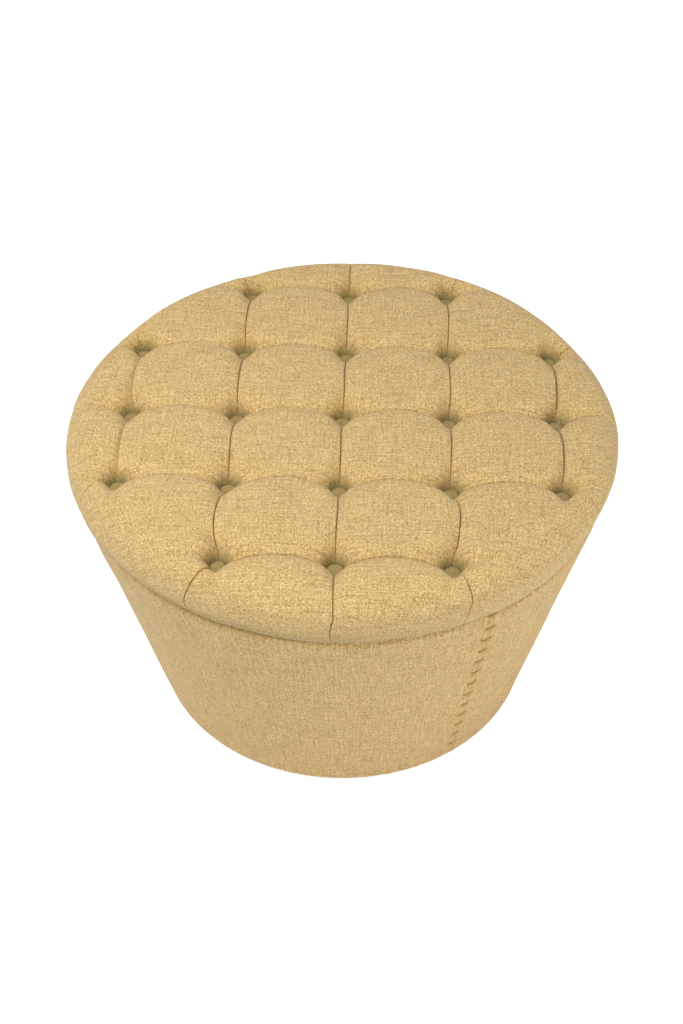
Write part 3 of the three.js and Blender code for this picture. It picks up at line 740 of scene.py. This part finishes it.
def build_top_cover():
    shell = Shell()
    edges = []
    for x, y in lid_patches(cover_shares, cover_rim):
        points = lid_point(x, y, lid_depth(x, y))
        # The cover carries its painted shade in the shade layer.
        shell.grid(points, np.stack([x, y], axis=-1), painted_shade=painted_shade_of(x, y))
        edges.append(points[-1, :-1])
    border = edges[-BORDER_PARTS:]
    edge = np.concatenate([*border, border[0][:1]])
    radius = np.linalg.norm(edge[:, :2], axis=1)
    rows = [edge]
    for wanted in (radius - FABRIC, np.full_like(radius, HEM_RADIUS)):
        flat = edge[:, :2] * (wanted / radius)[:, None]
        rows.append(np.column_stack([flat, np.full_like(radius, LID_BOTTOM)]))
    shell.grid(np.stack(rows), flip=True)
    return shell.piece("lid_cover", linen)


def thickened(piece, thickness):
    """Gives a cover its thickness, inwards, and applies it."""
    solid = piece.modifiers.new("thickness", "SOLIDIFY")
    solid.thickness, solid.offset = thickness, -1
    graph = bpy.context.evaluated_depsgraph_get()
    piece.data = bpy.data.meshes.new_from_object(piece.evaluated_get(graph))
    piece.modifiers.clear()
    return piece


lid_cover = thickened(build_top_cover(), FABRIC)
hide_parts("top_cover")

# Buttons
# Twenty-one buttons: a pressed metal shell with a shank, covered in the same fabric, which is
# gathered over the edge.

# Share of painted shade on a button's cap; its gathered edge and underside take all of it.
BUTTON_PAINTED_SHADE = 0.52
BUTTON_HEIGHT = 0.0068
SHANK_RADIUS = 0.002
BACK_SHARE = 0.78
EDGE_BULGE = 0.0022
EDGE_MIDDLE = 0.0026
EDGE_HALF = 0.0024
DOME_DEPTH = 0.0018
DOME_POWER = 2.4
DOME_SHARE = 0.84
CAP_SHARE = 0.9
GATHER_SHARE = 0.8
GATHERS = 14
GATHER_DEPTH = 0.012
BUTTON_TURN = math.radians(37)


def button_mesh():
    low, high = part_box(button_nodes[0])
    radius = (high.x - low.x) / 2
    back = high.z - BUTTON_HEIGHT
    profile = [(0, low.z), (SHANK_RADIUS, low.z), (SHANK_RADIUS, back), (radius * BACK_SHARE, back)]
    for bulge in np.radians(np.linspace(-60, 80, 8)):
        edge = radius - EDGE_BULGE * (1 - math.cos(bulge))
        profile.append((edge, back + EDGE_MIDDLE + EDGE_HALF * math.sin(bulge)))
    for share in np.linspace(DOME_SHARE, 0, 8):
        profile.append((radius * share, high.z - DOME_DEPTH * share**DOME_POWER))
    radii, heights = np.array(profile).T
    widest = radii.max()
    radius, turn = np.meshgrid(radii, np.linspace(0, 2 * math.pi, 41), indexing="ij")
    height = (heights - centre_of(button_nodes[0]).z)[:, None]
    gathered = (radius > widest * GATHER_SHARE) & (radius < widest)
    radius = radius * (1 + GATHER_DEPTH * np.sin(GATHERS * turn) * gathered)
    # Painted shade: part of it on the cap, all of it on the gathered edge and underside.
    button_shade = np.where(radii < widest * CAP_SHARE, BUTTON_PAINTED_SHADE, 1.0)[:, None]
    shell = Shell()
    shell.grid(about_axis(radius, turn, height), painted_shade=button_shade)
    return shell


button_shell = button_mesh()
for index, node in enumerate(button_nodes):
    cap = button_shell.piece(f"covered_{node}", linen)
    cap.data.transform(Matrix.Rotation(BUTTON_TURN * index, 4, "Z"))
    cap.data.transform(Matrix.Translation(centre_of(node)))
    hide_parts(node)

# Tufting ties
# Two-ply waxed twine from each button's shank down through the padding and the deck, held
# under the board by a flat toggle.

PLY_RADIUS = 0.0006
TWIST = 0.006
TOGGLE_THICKNESS = 0.0024
tie_nodes = nodes_like("tuft_tie_")


def twine_finish():
    """Waxed flax twine, with a slight gloss."""
    material, tree, shader = bare_finish("waxed twine", roughness=0.6)
    lay = drawn_out(tree, surface_place(tree), (2500, 2500, 300))
    fibre = noise_over(tree, lay, 1.0, 3.0)
    coloured(tree, shader, fibre, srgb(176, 152, 106), srgb(226, 208, 166))
    raised(tree, shader, fibre, distance=0.0002)
    return material


waxed_twine = twine_finish()


def swept(shell, centres, radii, sides, beside):
    """Adds a round strand along a row of points, closed at both ends. `beside` is any direction
    across the strand."""
    ahead = np.gradient(centres, axis=0)
    ahead /= np.linalg.norm(ahead, axis=1, keepdims=True)
    side = np.cross(ahead, beside)
    side /= np.linalg.norm(side, axis=1, keepdims=True)
    above = np.cross(ahead, side)
    turns = np.linspace(0, 2 * math.pi, sides + 1)
    ends = np.concatenate([[0], radii, [0]])
    rows = [0, *range(len(centres)), -1]
    out = side[rows, None] * np.cos(turns)[:, None] + above[rows, None] * np.sin(turns)[:, None]
    points = centres[rows, None] + ends[:, None, None] * out
    shell.grid(points, flip=True)


def tie_mesh():
    low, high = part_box(tie_nodes[0])
    bottom = low.z - centre_of(tie_nodes[0]).z
    length = high.z - low.z - TOGGLE_THICKNESS
    height = np.linspace(0, length, int(length / TWIST * 8))
    shell = Shell()
    for ply in range(2):
        turn = 2 * math.pi * height / TWIST + ply * math.pi
        line = about_axis(PLY_RADIUS, turn, height + bottom + TOGGLE_THICKNESS)
        swept(shell, line, np.full(len(line), PLY_RADIUS), 6, (1, 0, 0))
    toggle_radius, edge = (high.x - low.x) / 2, TOGGLE_THICKNESS / 4
    rim = [(0, 0), (toggle_radius - edge, 0), (toggle_radius, edge)]
    rim += [(radius, TOGGLE_THICKNESS - height) for radius, height in reversed(rim)]
    radii, heights = np.array(rim).T
    ringed(shell, radii, heights + bottom, np.linspace(0, 2 * math.pi, 25))
    return shell


tie_shell = tie_mesh()
for node in tie_nodes:
    tie = tie_shell.piece(node.replace("tuft_tie", "twine"), waxed_twine)
    tie.data.transform(Matrix.Translation(centre_of(node)))
    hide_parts(node)

# Frame of the drum
# Two plywood rings, bevelled to the taper, with four pine struts screwed between them. They
# stay as the frame has them.

pine = timber("pine", 34.0, srgb(232, 204, 152), srgb(198, 158, 102), 0.0004)
for node in ("base_ring", "top_ring"):
    refinish(node, birch_ply)
for node in nodes_like("strut_"):
    refinish(node, pine)

# Wall panel
# A sheet of 3 mm fibreboard bent round the rings and stapled. It stays as the frame has it.


def fibreboard_finish():
    """Brown hardboard: a smooth, mottled face with short fibres."""
    material, tree, shader = bare_finish("fibreboard", roughness=0.7)
    place = surface_place(tree)
    fibres = noise_over(tree, place, 700.0, 2.0, distortion=1.5)
    tone = mixed(tree, fibres, noise_over(tree, place, 45.0, 6.0), 0.5)
    coloured(tree, shader, tone, srgb(96, 66, 40), srgb(158, 116, 74))
    raised(tree, shader, fibres, distance=0.0002)
    return material


refinish("wall_panel", fibreboard_finish())

# Wadding of the drum
# One turn of 6 mm wadding glued round the wall, its ends butted where the cover closes. It
# rounds the drum's shoulder and foot.

FOOT_RADIUS = 0.2555
WADDING = 0.006
SEAM_ANGLE = math.radians(-56.0)
SEAM_LEAN = math.radians(2.7)
SEAM_GAP = 0.0001
DRUM_BOTTOM, DRUM_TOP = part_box("side_cover")[0].z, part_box("side_cover")[1].z
DRUM_LEAN = math.atan2(JOINT_RADIUS - FOOT_RADIUS, DRUM_TOP - DRUM_BOTTOM)
DRUM_SHIFT = 0.0012
WADDING_SLACK = 0.0009
EDGE_ROLL = FABRIC + CLEARANCE + WADDING
SHOULDER_ROLL = 0.008
BUTTED_SHARE = 0.7


def drum_radius(height, depth):
    """Radius of the drum at a height, at a depth below the outside of its cover."""
    return FOOT_RADIUS + (height - DRUM_BOTTOM) * math.tan(DRUM_LEAN) - depth / math.cos(DRUM_LEAN)


def drum_share(height):
    """Share of the way up the drum."""
    return np.clip((height - DRUM_BOTTOM) / (DRUM_TOP - DRUM_BOTTOM), 0, 1)


def drum_section(wall_steps, edge_steps):
    """Centre line of the drum's side from under the foot to the top of the shoulder: where it
    lies at no depth, and the way out of it, as complex numbers (radius + height i)."""
    foot = complex(drum_radius(DRUM_BOTTOM + EDGE_ROLL, EDGE_ROLL), DRUM_BOTTOM + EDGE_ROLL)
    shoulder = complex(drum_radius(DRUM_TOP - SHOULDER_ROLL, SHOULDER_ROLL), DRUM_TOP - SHOULDER_ROLL)
    low = np.exp(1j * np.linspace(-math.pi / 2, -DRUM_LEAN, edge_steps + 1))
    high = np.exp(1j * np.linspace(-DRUM_LEAN, math.pi / 2, edge_steps + 1))
    share = np.linspace(0, 1, wall_steps + 1)[1:-1]
    wall = np.full(len(share), low[-1])
    bottom, top = foot + EDGE_ROLL * low, shoulder + SHOULDER_ROLL * high
    place = [bottom, bottom[-1] + (top[0] - bottom[-1]) * share, top]
    return np.concatenate(place), np.concatenate([low, wall, high])


def seam_bearing(height):
    """Bearing of the closing seam, which leans a little, at a height."""
    return SEAM_ANGLE + SEAM_LEAN * (DRUM_TOP - height) / (DRUM_TOP - DRUM_BOTTOM)


def around(section, turns):
    """Places of a section turned about the axis from the closing seam and back to it."""
    height = section.imag[:, None]
    gap = SEAM_GAP / FOOT_RADIUS
    angle = seam_bearing(height) + gap / 2 + turns[None, :] * (2 * math.pi - gap)
    return about_axis(section.real[:, None], angle, height)


def cloth_of(section, turns):
    """Flat coordinates of the drum's cloth in metres: up its slope, and round the drum. The cloth
    is turned by a quarter, so its weft runs up the side."""
    up = np.concatenate([[0], np.cumsum(np.abs(np.diff(section)))])
    across = turns * math.pi * (FOOT_RADIUS + JOINT_RADIUS)
    return np.stack(np.broadcast_arrays(up[:, None], across[None, :]), axis=-1)


def shifted(height):
    """How far the drum stands to the left of the axis at a height. Foot and top don't move."""
    return DRUM_SHIFT * np.sin(math.pi * drum_share(height)) ** 0.5


def capped(shell, section, turns, drawn_in):
    """Adds a wrap from a closed section, outer half first, with its two ends closed. The outer
    face is drawn in towards the ends."""
    half = len(section) // 2
    points = around(section, turns)
    radius = np.hypot(points[..., 0], points[..., 1])
    away = np.minimum(turns, 1 - turns)[None, :] * 2 * math.pi * radius
    outer = np.arange(len(section))[:, None] < half
    points[..., :2] *= (1 - outer * drawn_in * hump(away, 2 * WADDING) / radius)[..., None]
    points[..., 0] -= shifted(points[..., 2])
    shell.grid(points, cloth_of(section, turns), flip=True)
    for end in (0, -1):
        face = np.stack([points[:half, end], points[::-1][:half, end]], axis=1)
        shell.grid(face, flip=end == 0)


def build_wadding():
    place, out = drum_section(24, 5)
    outside = place - out * (FABRIC + WADDING_SLACK)
    inside = drum_radius(outside.imag, EDGE_ROLL) + 1j * outside.imag
    closed = np.concatenate([outside, inside[::-1], outside[:1]])
    shell = Shell()
    capped(shell, closed, pleated_shares(160), WADDING * BUTTED_SHARE)
    return shell.piece("wall_wadding", white_batting)


wall_wadding = build_wadding()
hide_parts("side_wrap")

# Side cover
# One strip of the same fabric, cut as part of a ring, pulled round the drum and folded in at
# shoulder and foot. Its two turned-in edges meet at the front right and pucker at the stitches.

STITCHES = 13
STITCH_TOP, STITCH_FOOT = 0.3515, 0.0365
STITCH_REACH = 0.0082
STITCH_RISE = 0.0055
TURN_UNDER = 0.020
SEAM_ROLL = 0.0007
SEAM_DIP = 0.0005
SEAM_DIP_WIDTH = 0.008
PUCKER = 0.0014
PUCKER_WIDTH = 0.0035
RIPPLE = 0.0004
RIPPLE_REACH = 0.022
DRUM_BELLY = 0.0004
DRUM_SLACK = 0.0007
DRUM_SLACK_SIZE = 0.09
FOOT_FOLDS = 0.0007
FOOT_FOLD_SIZE = 0.016
FOOT_FOLD_HEIGHT = 0.01
DRUM_SWELL = 0.004
SWELL_SHARE = 0.88
SWELL_WIDTH_SHARE = 0.12
stitch_step = (STITCH_TOP - STITCH_FOOT) / (STITCHES - 1)


def seam_pull(across, height):
    """How far the closing seam draws the cloth in, by distance from the seam and height."""
    level = height - STITCH_TOP - across * STITCH_RISE / (2 * STITCH_REACH)
    wave = np.cos(2 * math.pi * level / stitch_step)
    away = np.abs(across)
    roll = SEAM_ROLL * (1 - rounded(away, SEAM_ROLL, 0.5))
    dip = SEAM_DIP * hump(away, SEAM_DIP_WIDTH)
    pucker = PUCKER * (1 + wave) * hump(across + STITCH_REACH, PUCKER_WIDTH)
    ripple = RIPPLE * wave * np.exp(-away / RIPPLE_REACH)
    within = (height > STITCH_FOOT - stitch_step) & (height < DRUM_TOP)
    return roll + (dip + pucker + ripple) * within


def drum_relief(angle, across, height):
    """How far the drum's cloth stands out from the plain taper."""
    share = drum_share(height)
    girth = angle * JOINT_RADIUS
    slack = DRUM_SLACK * uneven(girth, height, 5.0, DRUM_SLACK_SIZE)
    painted_shades = uneven(girth, 0 * height, 9.0, FOOT_FOLD_SIZE)
    painted_shades = painted_shades * np.exp(-(height - DRUM_BOTTOM) / FOOT_FOLD_HEIGHT)
    swell = hump(share - SWELL_SHARE, SWELL_WIDTH_SHARE) * np.clip(-np.cos(angle), 0, 1) ** 2
    loose = (DRUM_BELLY + slack) * np.sin(math.pi * share) + DRUM_SWELL * swell
    return loose + FOOT_FOLDS * painted_shades - seam_pull(across, height)


def build_side_cover():
    place, out = drum_section(110, 8)
    turns = pleated_shares(360)
    beside = np.where(turns > 0.5, turns - 1, turns)
    across = beside * 2 * math.pi * place.real[:, None]
    points = around(place, turns)
    height = points[..., 2]
    angle = np.arctan2(points[..., 1], points[..., 0])
    outward = about_axis(out.real[:, None], angle, out.imag[:, None])
    moved = points + outward * drum_relief(angle, across, height)[..., None]
    moved[..., 0] -= shifted(height)
    shell = Shell()
    shell.grid(moved, cloth_of(place, turns), flip=True)
    for radius, row, flip in ((place[0].real - TURN_UNDER, 0, True), (HEM_RADIUS, -1, False)):
        edge = moved[row]
        inner = edge.copy()
        inner[:, :2] *= radius / np.linalg.norm(edge[:, :2], axis=1, keepdims=True)
        shell.grid(np.stack([inner, edge]), flip=flip)
    return shell.piece("side_cloth", linen)


side_cloth = thickened(build_side_cover(), FABRIC)
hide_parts("side_cover")
slope = (DRUM_TOP - DRUM_BOTTOM) / math.cos(DRUM_LEAN)
strip_area = math.pi * (FOOT_RADIUS + JOINT_RADIUS) * slope
strip_area += 2 * math.pi * (FOOT_RADIUS * TURN_UNDER + JOINT_RADIUS * (JOINT_RADIUS - HEM_RADIUS))

# Closing stitches
# Thirteen whip stitches of thick matching thread that pull the two edges of the side cover
# together. Each goes into the cloth on either side and lies over the seam.

STITCH_THICKNESS = 0.0048
STITCH_TAPER = 0.25
STITCH_STRAY = 0.0012
STITCH_UNEVENNESS = 0.07
PROUD_SHARE = 0.12
SUNK_SHARE = 0.62
TIP_SHARE = 0.3
THICKEST_SHARE = -0.25


def thread_finish():
    """Thick twisted thread, a shade deeper than the cloth."""
    material, tree, shader = bare_finish("linen thread", roughness=0.8)
    fibre = noise_over(tree, surface_place(tree), 1800.0, 3.0)
    coloured(tree, shader, fibre, srgb(186, 150, 82), srgb(222, 188, 116))
    raised(tree, shader, fibre, distance=0.0003)
    return material


def drum_side(height):
    """Radius of the outside of the drum's cover at a height, with its rounded shoulder."""
    centre = drum_radius(DRUM_TOP - SHOULDER_ROLL, SHOULDER_ROLL)
    above = height - (DRUM_TOP - SHOULDER_ROLL)
    arc = centre + np.sqrt(np.clip(SHOULDER_ROLL**2 - above**2, 0, None))
    return np.where(above > -SHOULDER_ROLL * math.sin(DRUM_LEAN), arc, drum_radius(height, 0))


def build_stitches():
    shell = Shell()
    share = np.linspace(-1, 1, 26)
    for index in range(STITCHES):
        height = STITCH_TOP - index * stitch_step + STITCH_STRAY * math.sin(5.3 * index)
        size = 1 - STITCH_TAPER * index / STITCHES
        reach = STITCH_REACH * size * (1 + STITCH_UNEVENNESS * math.sin(3.7 * index + 1))
        thickness = STITCH_THICKNESS * size
        level = height + share * size * STITCH_RISE / 2
        across = share * reach
        angle = seam_bearing(height) + across / drum_side(level)
        proud = thickness * (PROUD_SHARE - SUNK_SHARE * np.abs(share) ** 3)
        rise = drum_relief(angle, across, level) + proud
        line = about_axis(drum_side(level) + rise / math.cos(DRUM_LEAN), angle, level)
        line[:, 0] -= shifted(level)
        thick = TIP_SHARE + (1 - TIP_SHARE) * np.cos((share - THICKEST_SHARE) * math.pi / 2.5)
        swept(shell, line, thickness / 2 * thick, 10, (math.cos(SEAM_ANGLE), math.sin(SEAM_ANGLE), 0))
    return shell.piece("closing_stitches", thread_finish())


closing_stitches = build_stitches()

# Dust cover
# A disc of black spunbonded cloth, stapled under the base ring over the turned-in edge of the
# side cover, slightly slack in the middle.

DUST_DIAMETER = 2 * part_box("dust_cover")[1].x
DUST_THICKNESS = 0.0008
DUST_SLACK = 0.0008
DUST_SLACK_SIZE = 0.06
DUST_SLACK_SHARE = 0.7


def dust_cloth_finish():
    """Black spunbond: random filaments with a grid of heat-pressed dots."""
    material, tree, shader = bare_finish("spunbond", roughness=0.85)
    place = surface_place(tree)
    dots = wired(tree, "TexVoronoi", {"Vector": place, "Scale": 550.0, "Randomness": 0.15})
    fibres = noise_over(tree, place, 900.0, 3.0, distortion=2.0)
    tone = maths(tree, "MULTIPLY_ADD", dots.outputs["Distance"], 0.5, fibres)
    coloured(tree, shader, tone, srgb(18, 18, 20), srgb(56, 56, 60))
    raised(tree, shader, tone, distance=0.0003)
    return material


def build_dust_cloth():
    radius = DUST_DIAMETER / 2
    radii = np.linspace(0, 1, 40) ** 0.8 * radius
    distance, turn = np.meshgrid(radii, np.linspace(0, 2 * math.pi, 121), indexing="ij")
    points = about_axis(distance, turn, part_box("dust_cover")[1].z)
    middle = np.clip(1 - distance / (radius * DUST_SLACK_SHARE), 0, 1)
    slack = uneven(points[..., 0], points[..., 1], 2.0, DUST_SLACK_SIZE)
    points[..., 2] += DUST_SLACK * middle * slack
    shell = Shell()
    shell.grid(points)
    return shell.piece("dust_cloth", dust_cloth_finish())


dust_cloth = thickened(build_dust_cloth(), DUST_THICKNESS)
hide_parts("dust_cover")

# Glides
# Four moulded nylon feet, each on a nail driven through the dust cloth into the base ring. They
# stay as the frame has them.


def nylon_finish():
    """Dark moulded nylon with fine scuffs."""
    material, tree, shader = bare_finish("nylon", roughness=0.45)
    scuffs = noise_over(tree, surface_place(tree), 400.0, 4.0)
    coloured(tree, shader, scuffs, srgb(34, 32, 30), srgb(62, 59, 55))
    rough = maths(tree, "MULTIPLY_ADD", scuffs, 0.3, 0.3)
    tree.links.new(rough, shader.inputs["Roughness"])
    raised(tree, shader, scuffs, distance=0.0001)
    return material


nylon = nylon_finish()
for node in nodes_like("glide_"):
    refinish(node, nylon)

# Studio
# A plain pale floor that runs out to white, one large soft lamp from the upper left, a weaker
# one from the right, and the camera at the photograph's angle.

FLOOR_GLOW = 0.72
AMBIENT = 0.46
LAMP_AIM = Vector((0, 0, 0.3))


def background_rays(tree):
    """1 for a ray that shows the background: straight, in a reflection or through glass."""
    path = wired(tree, "LightPath").outputs
    shown = maths(tree, "MAXIMUM", path["Is Camera Ray"], path["Is Glossy Ray"])
    return maths(tree, "MAXIMUM", shown, path["Is Transmission Ray"])


def floor_finish():
    """White for the camera where it is lit, and shaded where the tuffet keeps the light off."""
    material, tree, shader = bare_finish("pale floor", roughness=0.9)
    clouds = noise_over(tree, surface_place(tree), 3.0, 2.0)
    coloured(tree, shader, clouds, srgb(244, 244, 243), srgb(250, 250, 249))
    glow = maths(tree, "MULTIPLY", background_rays(tree), FLOOR_GLOW)
    shader.inputs["Emission Color"].default_value = (1, 1, 1, 1)
    tree.links.new(glow, shader.inputs["Emission Strength"])
    return material


bpy.ops.mesh.primitive_plane_add(size=40)
floor = bpy.context.object
floor.name = "floor"
floor.data.materials.append(floor_finish())


def soft_lamp(name, place, size, power):
    """A square soft box that faces the tuffet."""
    light = bpy.data.lights.new(name, "AREA")
    light.size, light.energy = size, power
    lamp = placed(name, light)
    lamp.location = place
    lamp.rotation_euler = (LAMP_AIM - Vector(place)).to_track_quat("-Z", "Y").to_euler()


soft_lamp("key lamp", (-0.88, -0.74, 2.15), 1.0, 25.5)
soft_lamp("fill lamp", (2.5, -1.7, 0.95), 1.8, 26)

world = bpy.data.worlds.new("white studio")
bpy.context.scene.world = world
world.use_nodes = True
sky = world.node_tree.nodes["Background"]
sky.inputs["Color"].default_value = (1, 1, 1, 1)
plain = background_rays(world.node_tree)
strength = maths(world.node_tree, "MULTIPLY_ADD", plain, 1 - AMBIENT, AMBIENT)
world.node_tree.links.new(strength, sky.inputs["Strength"])

CAMERA_PLACE = Vector((0.0519, -1.651, 1.740))
CAMERA_AIM = Vector((0.0040, -0.1713, 0.410))
CAMERA_ROLL = math.radians(0.116)
lens = bpy.data.cameras.new("camera")
lens.lens, lens.sensor_width, lens.clip_end = 58.0, 36.0, 60.0
camera = placed("camera", lens)
facing = (CAMERA_AIM - CAMERA_PLACE).to_track_quat("-Z", "Y").to_matrix().to_4x4()
camera.matrix_world = Matrix.Translation(CAMERA_PLACE) @ facing @ Matrix.Rotation(CAMERA_ROLL, 4, "Z")
bpy.context.scene.camera = camera
bpy.context.scene.view_settings.view_transform = "Standard"

bpy.context.view_layer.update()
